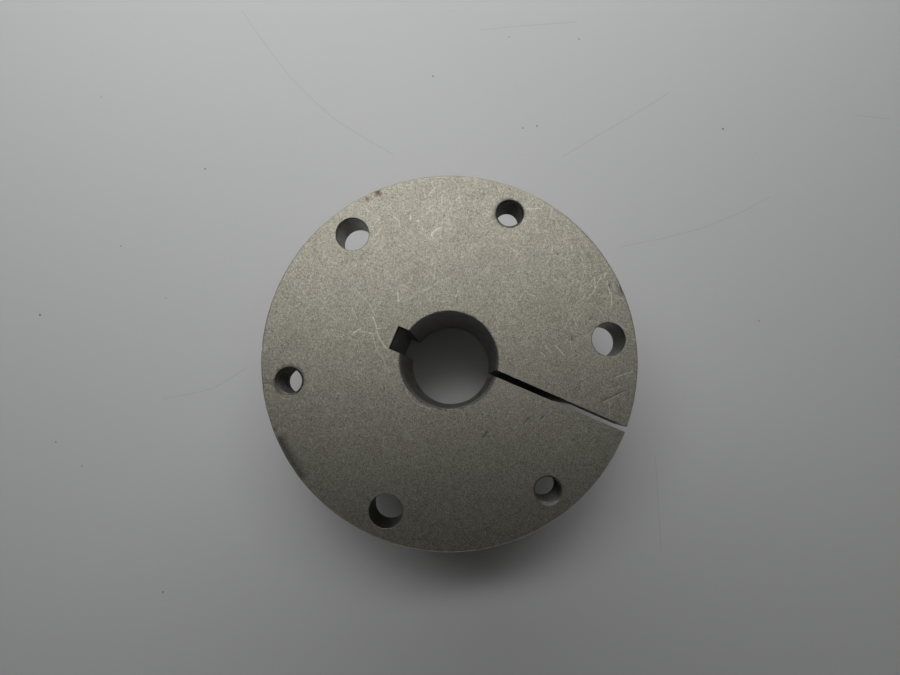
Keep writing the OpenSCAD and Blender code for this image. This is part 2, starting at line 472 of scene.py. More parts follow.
def make_bore():
    """The bore's and keyway's surfaces as lists of rows, in order from the saw cut's + wall to its - wall."""
    pieces = [[], [], [], [], []]
    for z, wider, key_wider in bore_levels():
        radius = BORE_R + wider
        x = KEYWAY_HALF + key_wider
        shoulder_y = math.sqrt(radius ** 2 - x ** 2)
        floor_y = KEYWAY_FLOOR_Y + key_wider
        shoulder = math.atan2(shoulder_y, x)
        first = saw_wall_angle(radius, 1) - math.tau
        last = saw_wall_angle(radius, -1)
        right = np.linspace(first, shoulder, BORE_COLUMNS + 1)
        left = np.linspace(math.pi - shoulder, last, BORE_COLUMNS + 1)
        right_r = BORE_R + wider * ragged(right, 51)
        left_r = BORE_R + wider * ragged(left, 52)
        rise = np.linspace(shoulder_y, floor_y, 9)
        across = np.linspace(x, -x, 17)
        lines = (
            (right_r * np.cos(right), right_r * np.sin(right)),
            (np.full(9, x), rise),
            (across, np.full(17, floor_y)),
            (np.full(9, -x), rise[::-1]),
            (left_r * np.cos(left), left_r * np.sin(left)),
        )
        for rows, line in zip(pieces, lines):
            rows.append(at_level(np.stack(line, -1), z))
    return [np.array(rows) for rows in pieces]


def hole_centers(first_deg):
    """Centres in plan of the holes of one kind."""
    angles = [math.radians(first_deg + 360 / HOLES * i) for i in range(HOLES)]
    return [(HOLE_CIRCLE_R * math.cos(a), HOLE_CIRCLE_R * math.sin(a)) for a in angles]


def make_clearance_hole(center):
    """Rows of one clearance hole's wall, from the face down."""
    wide = CLEARANCE_R + CLEARANCE_BREAK
    upper, lower = FACE_Z - CLEARANCE_BREAK, BACK_Z + CLEARANCE_BREAK
    section = corner((wide, FACE_Z), (CLEARANCE_R, FACE_Z), (CLEARANCE_R, upper))
    section += straight((CLEARANCE_R, upper), (CLEARANCE_R, lower), 14)
    section += corner((CLEARANCE_R, lower), (CLEARANCE_R, BACK_Z), (wide, BACK_Z))
    angle = np.linspace(0, math.tau, CLEARANCE_COLUMNS + 1)
    angle[-1] = 0
    rows = [np.stack([center[0] + r * np.cos(angle), center[1] + r * np.sin(angle), np.full(len(angle), z)], -1)
            for r, z in section]
    return np.array(rows)


def thread_radius(phase):
    """Radius of the internal thread, from the crest at phase 0 through the groove at 0.5."""
    away = np.abs(phase - np.round(phase - 0.5) - 0.5) * THREAD_PITCH
    root_flat = THREAD_PITCH / 16
    depth = THREAD_R - TAP_DRILL_R
    flank = depth * math.tan(math.radians(30))
    return THREAD_R - depth * np.clip((away - root_flat) / flank, 0, 1)


def make_tapped_hole(center):
    """Rows of one tapped hole's wall. Each row climbs one pitch in one turn and is cut off at both faces."""
    root_flat = 1 / 16
    flank = (THREAD_R - TAP_DRILL_R) * math.tan(math.radians(30)) / THREAD_PITCH
    breaks = [0.0, 0.5 - root_flat - flank, 0.5 - root_flat - flank / 2, 0.5 - root_flat]
    phases = breaks + [1 - b for b in reversed(breaks[1:])]
    turn = np.linspace(0, 1, TAPPED_COLUMNS + 1)
    angle = turn * math.tau
    angle[-1] = 0
    rows = []
    pitches = int((FACE_Z - BACK_Z) / THREAD_PITCH) + 2
    for pitch in range(-1, pitches):
        for phase in phases:
            z = np.clip(BACK_Z + (pitch + phase + turn) * THREAD_PITCH, BACK_Z, FACE_Z)
            radius = thread_radius((z - BACK_Z) / THREAD_PITCH - turn)
            mouth = TAP_DRILL_R + COUNTERSINK - np.minimum(FACE_Z - z, z - BACK_Z)
            radius = np.maximum(radius, mouth)
            rows.append(np.stack([center[0] + radius * np.cos(angle), center[1] + radius * np.sin(angle), z], -1))
    return np.array(rows[::-1])


def saw_edge(start, end, seed):
    """Points of a straight edge of the saw cut between two corners, without them, slightly ragged."""
    count = max(2, int(np.linalg.norm(end - start) / SAW_EDGE_STEP))
    points = np.array(straight(start, end, count))
    along = (end - start)[:2] / np.linalg.norm(end - start)
    across = np.array((-along[1], along[0]))
    rough = np.random.default_rng(seed).normal(0, 0.03, count)
    points[:, :2] += rough[:, None] * across
    return points


def inside(points, loops):
    """True for each flat point that lies inside the loops, with holes left out."""
    result = np.zeros(len(points), dtype=bool)
    x, y = points[:, 0], points[:, 1]
    for loop in loops:
        for (ax, ay), (bx, by) in zip(loop, np.roll(loop, -1, axis=0)):
            if ay == by:
                continue
            crosses = (ay > y) != (by > y)
            result ^= crosses & (x < (bx - ax) * (y - ay) / (by - ay) + ax)
    return result


def fill(loops, extra=None):
    """Triangles over the flat region inside the loops, through extra points. Returns (points, triangles)."""
    border = np.vstack(loops)
    extra = np.zeros((0, 2)) if extra is None else extra
    points = np.vstack([border, extra])
    edges = []
    start = 0
    for loop in loops:
        edges += [(start + i, start + (i + 1) % len(loop)) for i in range(len(loop))]
        start += len(loop)
    vectors = [Vector(p) for p in points]
    _, _, faces, origins, _, _ = geometry.delaunay_2d_cdt(vectors, edges, [], 0, 1e-7, True)
    if not all(origins):
        raise ValueError("the outline crosses itself")
    faces = [tuple(origins[i][0] for i in face) for face in faces]
    return points, np.array(inner_faces(faces, {frozenset(edge) for edge in edges}))


def inner_faces(faces, border):
    """The triangles within the border edges, found by crossing from one triangle to the next."""
    sides = {}
    for number, (a, b, c) in enumerate(faces):
        for pair in ((a, b), (b, c), (c, a)):
            sides.setdefault(frozenset(pair), []).append(number)
    neighbours = [[] for _ in faces]
    within = [None] * len(faces)
    for pair, owners in sides.items():
        if len(owners) == 1:
            within[owners[0]] = pair in border
            continue
        first, second = owners
        neighbours[first].append((second, pair in border))
        neighbours[second].append((first, pair in border))
    waiting = [number for number, state in enumerate(within) if state is not None]
    while waiting:
        number = waiting.pop()
        for other, crossing in neighbours[number]:
            if within[other] is None:
                within[other] = within[number] != crossing
                waiting.append(other)
    return [face for face, state in zip(faces, within) if state]


def scatter(low, high, step, seed):
    """Points of a jittered triangular grid over a box."""
    rng = np.random.default_rng(seed)
    rows = int((high[1] - low[1]) / (step * 0.866)) + 1
    across = int((high[0] - low[0]) / step) + 1
    grid_y, grid_x = np.mgrid[0:rows, 0:across].astype(float)
    x = low[0] + (grid_x + 0.5 * (grid_y % 2)) * step
    y = low[1] + grid_y * step * 0.866
    points = np.stack([x.ravel(), y.ravel()], -1)
    return points + rng.uniform(-0.18, 0.18, points.shape) * step


def clear_of(points, others, distance):
    """The points that lie at least a distance from all others."""
    tree = kdtree.KDTree(len(others))
    for i, p in enumerate(others):
        tree.insert((p[0], p[1], 0), i)
    tree.balance()
    keep = [tree.find((p[0], p[1], 0))[2] >= distance for p in points]
    return points[np.array(keep, dtype=bool)]


class Marks:
    """Scratches and pits of the flange face, and a painted highlight laid as scratches: where each lies, and how deep
    and how pale or dark it is.
    """

    def __init__(self):
        self.lines = []
        self.pits = []

    def scratch(self, path, half_width, depth, pale=0.0, dark=0.0):
        for start, end in zip(path[:-1], path[1:]):
            self.lines.append((*start, *end, half_width, depth, pale, dark))

    def pit(self, center, radius, depth, dark=0.0):
        self.pits.append((*center, radius, depth, dark))

    def samples(self):
        """Mesh points along each scratch and round each pit."""
        found = []
        for ax, ay, bx, by, half_width, _, _, _ in self.lines:
            along = np.array((bx - ax, by - ay))
            length = np.linalg.norm(along)
            side = np.array((-along[1], along[0])) / max(length, 1e-6) * half_width
            for share in np.linspace(0, 1, max(2, int(length / 0.3) + 1)):
                middle = np.array((ax, ay)) + along * share
                found += [middle, middle + side, middle - side]
        for x, y, radius, _, _ in self.pits:
            found.append(np.array((x, y)))
            for ring in (0.5, 1.0):
                for turn in np.linspace(0, math.tau, 9)[:-1]:
                    found.append(np.array((x, y)) + ring * radius * np.array((math.cos(turn), math.sin(turn))))
        found = np.array(found)
        _, first = np.unique(np.round(found / 0.07), axis=0, return_index=True)
        return found[np.sort(first)]

    def fields(self, points):
        """(depth, pale, dark) at each flat point."""
        depth, pale, dark = (np.zeros(len(points)) for _ in range(3))
        for ax, ay, bx, by, half_width, deep, light, dull in self.lines:
            along = np.array((bx - ax, by - ay))
            start = points - (ax, ay)
            share = np.clip(start @ along / max(along @ along, 1e-9), 0, 1)
            away = np.linalg.norm(start - share[:, None] * along, axis=1)
            shape = np.clip(1 - away / half_width, 0, 1)
            depth = np.maximum(depth, shape * deep)
            pale = np.maximum(pale, shape * light)
            dark = np.maximum(dark, shape * dull)
        for x, y, radius, deep, dull in self.pits:
            shape = np.clip(1 - (np.linalg.norm(points - (x, y), axis=1) / radius) ** 2, 0, 1)
            depth = np.maximum(depth, shape * deep)
            dark = np.maximum(dark, shape * dull)
        return depth, pale, dark


def photo_direction(right, up):
    """A direction of the photograph as one in the part's plan."""
    turn = math.radians(-PHOTO_TURN_DEG)
    return np.array((right * math.cos(turn) - up * math.sin(turn), right * math.sin(turn) + up * math.cos(turn)))


def face_wear_and_highlight():
    """All the marks of the flange face: those that the photograph shows, with the painted highlight by the bore, and
    the small scattered ones.
    """
    marks = Marks()
    for half_width, depth, tone, path in PALE_SCRATCHES.values():
        marks.scratch([on_face(p) for p in path], half_width, depth, pale=tone)
    # Pale burrs and a painted highlight along the bore's lower edge
    for half_width, tone, path in BORE_BURRS_AND_HIGHLIGHT.values():
        marks.scratch([on_face(p) for p in path], half_width, 0.0, pale=tone)
    for half_width, depth, tone, path in DARK_SCRATCHES.values():
        marks.scratch([on_face(p) for p in path], half_width, depth, dark=tone)
    for half_width, tone, path in SMEARS.values():
        marks.scratch([on_face(p) for p in path], half_width, 0.0, dark=tone)
    for x, y, radius, depth, tone in PITS.values():
        marks.pit(on_face((x, y)), radius, depth, dark=tone)
    rng = np.random.default_rng(SEED)
    busy = photo_direction(0.75, 0.65)
    made = 0
    while made < SCATTERED_SCRATCHES:
        spot = rng.uniform(-FLANGE_R, FLANGE_R, 2)
        chance = 0.35 + 0.65 * max(0, spot @ busy / FLANGE_R * 0.5 + 0.5) ** 1.5
        if not BORE_R + 1 < np.linalg.norm(spot) < FLANGE_R - 1 or rng.random() > chance:
            continue
        length = rng.lognormal(-0.1, 0.55)
        turn = rng.normal(0.35, 0.9)
        along = photo_direction(math.sin(turn), math.cos(turn)) * length / 2
        marks.scratch([spot - along, spot + along], rng.uniform(0.08, 0.15), 0.003, pale=rng.uniform(0.2, 0.75))
        made += 1
    for _ in range(SCATTERED_PITS):
        turn = rng.uniform(0, math.tau)
        reach = math.sqrt(rng.uniform((BORE_R + 1) ** 2, (FLANGE_R - 1) ** 2))
        spot = (reach * math.cos(turn), reach * math.sin(turn))
        marks.pit(spot, rng.uniform(0.12, 0.24), 0.01, dark=rng.uniform(0.2, 0.6))
    return marks


def at_level(flat, z):
    """Flat points as points at one height, or at one height each."""
    return np.column_stack([flat, np.broadcast_to(z, len(flat))])


def add_top_face(skin, outline, mouths, marks):
    """The flange face: flat, with its scratches and pits."""
    loops = [outline[:, :2]] + [mouth[:, :2] for mouth in mouths]
    border = np.vstack(loops)
    samples = marks.samples()
    samples = clear_of(samples[inside(samples, loops)], border, 0.2)
    grid = scatter((-FLANGE_R, -FLANGE_R), (FLANGE_R, FLANGE_R), FACE_STEP, 1)
    grid = clear_of(grid[inside(grid, loops)], np.vstack([border, samples]), 0.4)
    points, faces = fill(loops, np.vstack([samples, grid]))
    depth, _, _ = marks.fields(points)
    depth[:len(border)] = 0
    skin.add(at_level(points, FACE_Z - depth), faces, TOP)


def add_flat(skin, loops, z, finish, seed):
    """A plain flat surface at one height."""
    flat = [loop[:, :2] for loop in loops]
    reach = np.abs(np.vstack(flat)).max()
    grid = scatter((-reach, -reach), (reach, reach), HIDDEN_STEP, seed)
    grid = clear_of(grid[inside(grid, flat)], np.vstack(flat), HIDDEN_STEP * 0.45)
    points, faces = fill(flat, grid)
    skin.add(at_level(points, z), faces, finish)


def add_saw_wall(skin, loop, side):
    """One wall of the saw cut, seen along the cut and up, with the saw's faint ridges."""
    start, along, across = saw_wall(side)
    flat = np.column_stack([(loop[:, :2] - start) @ along, loop[:, 2]])
    grid = scatter(flat.min(axis=0), flat.max(axis=0), 1.2, 31)
    grid = clear_of(grid[inside(grid, [flat])], flat, 0.5)
    points, faces = fill([flat], grid)
    ridge = 0.02 * np.sin(grid[:, 0] * 2.6 + grid[:, 1] * 0.9)
    plan = start + grid[:, :1] * along + ridge[:, None] * across
    skin.add(np.vstack([loop, np.column_stack([plan, grid[:, 1]])]), faces, SAWN)


def ring(rows, index):
    """A closed loop from one row of a full round surface."""
    return rows[index][:-1]


def make_skin(marks):
    """All surfaces of the bushing."""
    skin = Skin()
    rim, barrel, bore = make_rim(), make_barrel(), make_bore()
    clearance = [make_clearance_hole(c) for c in hole_centers(FIRST_CLEARANCE_DEG)]
    tapped = [make_tapped_hole(c) for c in hole_centers(FIRST_TAPPED_DEG)]
    skin.grid(rim, WALL)
    skin.grid(barrel, WALL)
    for rows, finish in zip(bore, (BORE, KEYWAY, KEYWAY, KEYWAY, BORE)):
        skin.grid(rows, finish)
    for rows in clearance + tapped:
        skin.grid(rows, DRILLED)

    def bore_line(level):
        """The bore's outline at a level, from the saw cut's + wall to its - wall."""
        return np.vstack([rows[level][:-1] for rows in bore[:4]] + [bore[4][level]])

    face_edges = {1: saw_edge(bore[0][0, 0], rim[0, 0], 41), -1: saw_edge(bore[4][0, -1], rim[0, -1], 42)}
    back_edges = {1: saw_edge(rim[-1, 0], barrel[0, 0], 43), -1: saw_edge(rim[-1, -1], barrel[0, -1], 44)}
    end_edges = {1: saw_edge(barrel[-1, 0], bore[0][-1, 0], 45), -1: saw_edge(barrel[-1, -1], bore[4][-1, -1], 46)}

    top = np.vstack([rim[0], face_edges[-1][::-1], bore_line(0)[::-1], face_edges[1]])
    add_top_face(skin, top, [ring(rows, 0) for rows in clearance + tapped], marks)
    back = np.vstack([rim[-1], back_edges[-1], barrel[0][::-1], back_edges[1][::-1]])
    add_flat(skin, [back] + [ring(rows, -1) for rows in clearance + tapped], BACK_Z, WALL, 2)
    end = np.vstack([barrel[-1], end_edges[-1], bore_line(-1)[::-1], end_edges[1][::-1]])
    add_flat(skin, [end], 0.0, WALL, 3)
    for side, column, arc in ((1, 0, bore[0]), (-1, -1, bore[4])):
        wall = [face_edges[side], rim[:, column], back_edges[side], barrel[:, column], end_edges[side]]
        add_saw_wall(skin, np.vstack(wall + [arc[::-1, column]]), side)
    return skin


def paint(points, marks):
    """Wear, with painted shade and a painted highlight, at each point of the mesh, as (pale, dark, rust, 1)."""
    wear = np.zeros((len(points), 4))
    wear[:, 3] = 1
    face = points[:, 2] > FACE_Z - 0.35
    _, pale, dark = marks.fields(points[face][:, :2])
    wear[face, 0] = pale
    wear[face, 1] = dark

    def dab(channel, spots):
        for x, y, radius, tone in spots:
            middle = np.array((*on_face((x, y)), FACE_Z))
            away = np.linalg.norm(points - middle, axis=1) / radius
            wear[:, channel] = np.maximum(wear[:, channel], tone * np.clip(1.4 - away, 0, 1))

    # Painted shade in the countersunk mouth of each tapped hole
    for number, (x, y) in enumerate(hole_centers(FIRST_TAPPED_DEG)):
        away = np.hypot(points[:, 0] - x, points[:, 1] - y)
        mouth = (away < TAP_DRILL_R + COUNTERSINK + 0.02) & (points[:, 2] > FACE_Z - COUNTERSINK - 0.1)
        wear[mouth, 1] = np.maximum(wear[mouth, 1], MOUTH_SHADE[number])
    # Pale burrs, partly a painted highlight by the bore's lower edge
    dab(0, PALE_BURRS_AND_HIGHLIGHT.values())
    dab(1, [(x, y, half_width, tone) for x, y, half_width, _, tone in RIM_CHIPS.values()])
    dab(2, RUST_SPOTS.values())
    return wear


def make_mesh(skin, marks):
    """The welded mesh, in metres, with its finishes, its sharp edges and its wear, with painted shade and a painted
    highlight.
    """
    mesh = bpy.data.meshes.new("bushing_body")
    points = np.vstack(skin.points) * METRES
    mesh.from_pydata(points.tolist(), [], skin.faces)
    patch = mesh.attributes.new("patch", "INT", "FACE")
    patch.data.foreach_set("value", np.array(skin.patch, dtype=np.int32))
    mesh.polygons.foreach_set("material_index", np.array(skin.finish, dtype=np.int32))
    bm = bmesh.new()
    bm.from_mesh(mesh)
    bmesh.ops.remove_doubles(bm, verts=bm.verts, dist=2e-7)
    bmesh.ops.recalc_face_normals(bm, faces=bm.faces)
    layer = bm.faces.layers.int["patch"]
    open_edges = 0
    for face in bm.faces:
        face.smooth = True
    for edge in bm.edges:
        if len(edge.link_faces) != 2:
            open_edges += 1
            continue
        first, second = edge.link_faces
        edge.smooth = first[layer] == second[layer] and edge.calc_face_angle(0) < math.radians(38)
    if open_edges:
        raise ValueError("the bushing's surfaces don't meet all round")
    bm.to_mesh(mesh)
    bm.free()
    mesh.attributes.remove(mesh.attributes["patch"])
    count = len(mesh.vertices)
    co = np.empty(count * 3, dtype=np.float32)
    mesh.vertices.foreach_get("co", co)
    wear = mesh.attributes.new("wear", "FLOAT_COLOR", "POINT")
    tones = paint(co.reshape(-1, 3) / METRES, marks)
    wear.data.foreach_set("color", tones.astype(np.float32).ravel())
    return mesh


class Surface:
    """A material whose pattern is worked out from places on the part, in millimetres."""

    def __init__(self, name):
        self.material = bpy.data.materials.new(name)
        self.material.use_nodes = True
        self.tree = self.material.node_tree
        self.shader = self.tree.nodes["Principled BSDF"]
        coordinates = self.tree.nodes.new("ShaderNodeTexCoord")
        self.place = self.vector_math("SCALE", coordinates.outputs["Object"], scale=1 / METRES)

    def connect(self, socket, value):
        """Links a socket to another node's output, or sets it to a plain value."""
        if isinstance(value, bpy.types.NodeSocket):
            self.tree.links.new(value, socket)
        elif isinstance(value, tuple) and len(socket.default_value) == len(value) + 1:
            socket.default_value = (*value, 1)
        else:
            socket.default_value = value

    def set(self, name, value):
        """Sets one of the shader's inputs."""
        self.connect(self.shader.inputs[name], value)

    def vector_math(self, operation, a, b=None, scale=None):
        node = self.tree.nodes.new("ShaderNodeVectorMath")
        node.operation = operation
        self.connect(node.inputs[0], a)
        if b is not None:
            self.connect(node.inputs[1], b)
        if scale is not None:
            node.inputs["Scale"].default_value = scale
        return node.outputs["Value" if operation in ("LENGTH", "DOT_PRODUCT", "DISTANCE") else "Vector"]

    def math(self, operation, a, b=0.0, clamp=False):
        node = self.tree.nodes.new("ShaderNodeMath")
        node.operation = operation
        node.use_clamp = clamp
        self.connect(node.inputs[0], a)
        self.connect(node.inputs[1], b)
        return node.outputs[0]

    def noise(self, place, scale, detail=2.0, roughness=0.5, flat=False):
        """Noise whose spots are about 1 / scale wide. A flat noise varies along one number only."""
        node = self.tree.nodes.new("ShaderNodeTexNoise")
        node.noise_dimensions = "1D" if flat else "3D"
        self.connect(node.inputs["W" if flat else "Vector"], place)
        node.inputs["Scale"].default_value = scale
        node.inputs["Detail"].default_value = detail
        node.inputs["Roughness"].default_value = roughness
        return node.outputs["Fac"]

    def spread(self, value, low, high, to_low=0.0, to_high=1.0):
        """Maps low..high onto to_low..to_high, and holds it there."""
        node = self.tree.nodes.new("ShaderNodeMapRange")
        for name, number in zip(("From Min", "From Max", "To Min", "To Max"), (low, high, to_low, to_high)):
            node.inputs[name].default_value = number
        self.connect(node.inputs["Value"], value)
        return node.outputs["Result"]

    def blend(self, factor, a, b):
        """Colour a, or colour b where the factor is 1."""
        node = self.tree.nodes.new("ShaderNodeMix")
        node.data_type = "RGBA"
        self.connect(node.inputs["Factor"], factor)
        self.connect(node.inputs[6], a)
        self.connect(node.inputs[7], b)
        return node.outputs[2]

    def mix(self, factor, a, b):
        """Number a, or number b where the factor is 1."""
        node = self.tree.nodes.new("ShaderNodeMix")
        self.connect(node.inputs[0], factor)
        self.connect(node.inputs[2], a)
        self.connect(node.inputs[3], b)
        return node.outputs[0]

    def shade(self, color, factor):
        """A colour made lighter or darker by a factor near 1."""
        return self.vector_math("MULTIPLY", color, self.combine(factor))

    def combine(self, value):
        node = self.tree.nodes.new("ShaderNodeCombineXYZ")
        for socket in node.inputs:
            self.connect(socket, value)
        return node.outputs[0]

    def bump(self, height, depth, before=None):
        """Bumps the surface by a height of 0 to 1 times a depth in millimetres, over earlier bumps."""
        node = self.tree.nodes.new("ShaderNodeBump")
        node.inputs["Strength"].default_value = 1.0
        node.inputs["Distance"].default_value = depth * METRES
        self.connect(node.inputs["Height"], height)
        if before is not None:
            self.connect(node.inputs["Normal"], before)
        return node.outputs["Normal"]

    def wear(self):
        """The mesh's (pale, dark, rust) wear, with its painted shade and painted highlight."""
        attribute = self.tree.nodes.new("ShaderNodeAttribute")
        attribute.attribute_name = "wear"
        split = self.tree.nodes.new("ShaderNodeSeparateColor")
        self.tree.links.new(attribute.outputs["Color"], split.inputs["Color"])
        return split.outputs["Red"], split.outputs["Green"], split.outputs["Blue"]

    def round_and_up(self):
        """Distance from the bore axis, and height."""
        split = self.tree.nodes.new("ShaderNodeSeparateXYZ")
        self.connect(split.inputs[0], self.place)
        radius = self.math("SQRT", self.math("ADD", self.math("POWER", split.outputs[0], 2.0),
                                             self.math("POWER", split.outputs[1], 2.0)))
        return radius, split.outputs[2]

    def finish_worn_and_painted(self, color, roughness):
        """Lays pale scratches, dark spots and rust, with the painted shade and highlight among them, over a colour and
        a roughness, and sets the shader.
        """
        pale, dark, rust = self.wear()
        ragged = self.noise(self.place, 5.0, 3.0, 0.6)
        pale = self.math("MULTIPLY", pale, self.spread(ragged, 0.35, 0.55), clamp=True)
        dark = self.math("MULTIPLY", dark, self.spread(ragged, 0.3, 0.5), clamp=True)
        rust = self.math("MULTIPLY", rust, self.spread(ragged, 0.3, 0.45), clamp=True)
        color = self.blend(pale, color, PALE_METAL)
        color = self.blend(dark, color, GRIME_AND_SHADE)
        color = self.blend(rust, color, RUST)
        roughness = self.mix(pale, roughness, 0.3)
        roughness = self.mix(self.math("MAXIMUM", dark, rust), roughness, 0.5)
        self.set("Base Color", color)
        self.set("Roughness", roughness)
        self.set("Metallic", 1.0)


# Name, bearing and angle off the vertical in degrees, distance, width and height, and strength
LIGHTS = (
    ("tube_lamp", 98, 24, 600, (600, 80), 0.56),
    ("window_low", 98, 65, 300, (500, 80), 0.45),
    ("ceiling", 98, 17, 600, (700, 80), 0.07),
    ("ceiling_left", 150, 20, 500, (250, 200), 0.055),
    ("ceiling_right", 40, 22, 500, (250, 200), 0.11),
)
# Name, bearing, angle off the vertical, distance, radius, half angle of the cone, place on the floor that it is
# aimed at, right and up in the photograph, and strength
SPOTS = (
    ("lamp_upper", 98, 24, 600, 80, 24, (0, 170), 0.5),
    ("lamp_left", 98, 24, 600, 80, 20, (-110, 20), 1.1),
    ("lamp_left_wide", 135, 25, 600, 80, 32, (-80, 40), 0.28),
    ("lamp_right", 98, 24, 600, 80, 20, (90, 30), 0.35),
)
# The room's light near the horizon: all round, and more from the photograph's upper side
HORIZON = 0.07
HORIZON_UPPER = 0.3
# The pale background that the camera and the metal see, and the distances over which the floor fades into it
BACKDROP = 0.55
FADE_START = 230
FADE_END = 900
FLOOR_COLOR = (0.71, 0.714, 0.716)
STEEL = (0.292, 0.28, 0.232)
PALE_METAL = (0.62, 0.6, 0.53)
# Dark grime, and the painted shade in the tapped holes' mouths
GRIME_AND_SHADE = (0.05, 0.047, 0.04)
RUST = (0.11, 0.06, 0.04)


def blasted_face():
    """Matt steel with a fine sandy grain and faint clouds, as the flange face has, and painted shade in a ragged ring
    at the bore's edge.
    """
    surface = Surface("blasted_face")
    grain = surface.noise(surface.place, 2.0, 3.0, 0.8)
    fine = surface.noise(surface.place, 4.5, 2.0, 0.6)
    clouds = surface.noise(surface.place, 0.16, 5.0, 0.55)
    tone = surface.math("ADD", surface.spread(grain, 0.3, 0.7, 0.68, 1.32), surface.spread(fine, 0.3, 0.7, -0.42, 0.42))
    tone = surface.math("MULTIPLY", tone, surface.spread(clouds, 0.3, 0.7, 0.95, 1.05))
    radius, _ = surface.round_and_up()
    # Painted shade in a ragged ring on the face, within about 0.5 mm of the bore's edge
    ragged_edge = surface.math("ADD", radius, surface.spread(fine, 0.3, 0.7, -0.1, 0.1))
    tone = surface.math("MULTIPLY", tone, surface.spread(ragged_edge, BORE_R + 0.36, BORE_R + 0.5, 0.35, 1.0))
    surface.finish_worn_and_painted(surface.shade(STEEL, tone), surface.spread(clouds, 0.3, 0.7, 0.4, 0.37))
    surface.set("Normal", surface.bump(fine, 0.02, surface.bump(grain, 0.035)))
    return surface.material


def turned_metal():
    """Turned steel, with fine tool marks round the bore axis and a little of the face's grain."""
    surface = Surface("turned_metal")
    radius, height = surface.round_and_up()
    along = surface.math("ADD", radius, height)
    lines = surface.noise(along, 5.5, 4.0, 0.7, flat=True)
    grain = surface.noise(surface.place, 2.6, 3.0, 0.65)
    clouds = surface.noise(surface.place, 0.12, 4.0, 0.55)
    tone = surface.math("ADD", surface.spread(lines, 0.3, 0.7, 0.93, 1.07), surface.spread(grain, 0.3, 0.7, -0.1, 0.1))
    tone = surface.math("MULTIPLY", tone, surface.spread(clouds, 0.3, 0.7, 0.9, 1.06))
    surface.finish_worn_and_painted(surface.shade((0.3, 0.29, 0.245), tone), surface.spread(grain, 0.3, 0.7, 0.46, 0.38))
    normal = surface.bump(lines, 0.03)
    surface.set("Normal", surface.bump(grain, 0.02, normal))
    return surface.material


def bored_metal():
    """Bored steel, darker and smoother, with tool marks round the bore and stains down it, and painted shade on its
    edge break.
    """
    surface = Surface("bored_metal")
    _, height = surface.round_and_up()
    lines = surface.noise(height, 6.0, 4.0, 0.7, flat=True)
    stains = surface.noise(surface.place, 0.35, 5.0, 0.6)
    tone = surface.math("MULTIPLY", surface.spread(lines, 0.3, 0.7, 0.9, 1.1), surface.spread(stains, 0.3, 0.7, 0.8, 1.1))
    # Painted shade on the bore's edge break, its top 0.25 mm, to dull the highlight it catches
    tone = surface.math("MULTIPLY", tone, surface.spread(height, FACE_Z - 0.4, FACE_Z - 0.25, 1.0, 0.3))
    surface.finish_worn_and_painted(surface.shade((0.44, 0.435, 0.415), tone), surface.spread(stains, 0.3, 0.7, 0.6, 0.48))
    surface.set("Normal", surface.bump(lines, 0.02))
    return surface.material


def broached_metal():
    """Broached steel, scored along the keyway, with painted shade over its top few millimetres."""
    surface = Surface("broached_metal")
    squeezed = surface.vector_math("MULTIPLY", surface.place, (1.0, 1.0, 0.02))
    scores = surface.noise(squeezed, 5.0, 3.0, 0.7)
    _, height = surface.round_and_up()
    # Painted shade: the keyway is darker over its top 3.2 mm, fading out by 4.6 mm below the face
    tone = surface.math("MULTIPLY", surface.spread(scores, 0.3, 0.7, 0.8, 1.15),
                        surface.spread(height, FACE_Z - 4.6, FACE_Z - 3.2, 1.0, 0.35))
    surface.finish_worn_and_painted(surface.shade((0.34, 0.336, 0.32), tone), 0.5)
    surface.set("Normal", surface.bump(scores, 0.04))
    return surface.material


def sawn_metal():
    """Sawn steel, with the slanting scores of the blade."""
    surface = Surface("sawn_metal")
    across = surface.vector_math("DISTANCE", surface.place, (0.0, -140.0, 120.0))
    scores = surface.noise(across, 2.2, 4.0, 0.7, flat=True)
    grain = surface.noise(surface.place, 3.0, 3.0, 0.6)
    surface.finish_worn_and_painted(surface.shade((0.4, 0.39, 0.365), surface.spread(scores, 0.3, 0.7, 0.8, 1.15)),
                        surface.spread(grain, 0.3, 0.7, 0.56, 0.46))
    surface.set("Normal", surface.bump(scores, 0.08))
    return surface.material


def drilled_metal():
    """Drilled and tapped steel, dark and a little oily."""
    surface = Surface("drilled_metal")
    _, height = surface.round_and_up()
    lines = surface.noise(height, 4.0, 4.0, 0.7, flat=True)
    stains = surface.noise(surface.place, 0.6, 5.0, 0.6)
    tone = surface.math("MULTIPLY", surface.spread(lines, 0.3, 0.7, 0.9, 1.1), surface.spread(stains, 0.3, 0.7, 0.75, 1.1))
    surface.finish_worn_and_painted(surface.shade((0.13, 0.128, 0.12), tone), surface.spread(stains, 0.3, 0.7, 0.48, 0.36))
    surface.set("Normal", surface.bump(lines, 0.02))
    return surface.material


def make_bushing():
    """The dressed bushing, in place of its plain solid."""
    marks = face_wear_and_highlight()
    mesh = make_mesh(make_skin(marks), marks)
    for make_finish in FINISHES:
        mesh.materials.append(make_finish())
    bushing = bpy.data.objects.new("bushing_body", mesh)
    bpy.context.scene.collection.objects.link(bushing)
    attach(bushing, "root")
    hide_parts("bushing")


# In the order of the numbers TOP, WALL, BORE, KEYWAY, SAWN and DRILLED
FINISHES = (blasted_face, turned_metal, bored_metal, broached_metal, sawn_metal, drilled_metal)


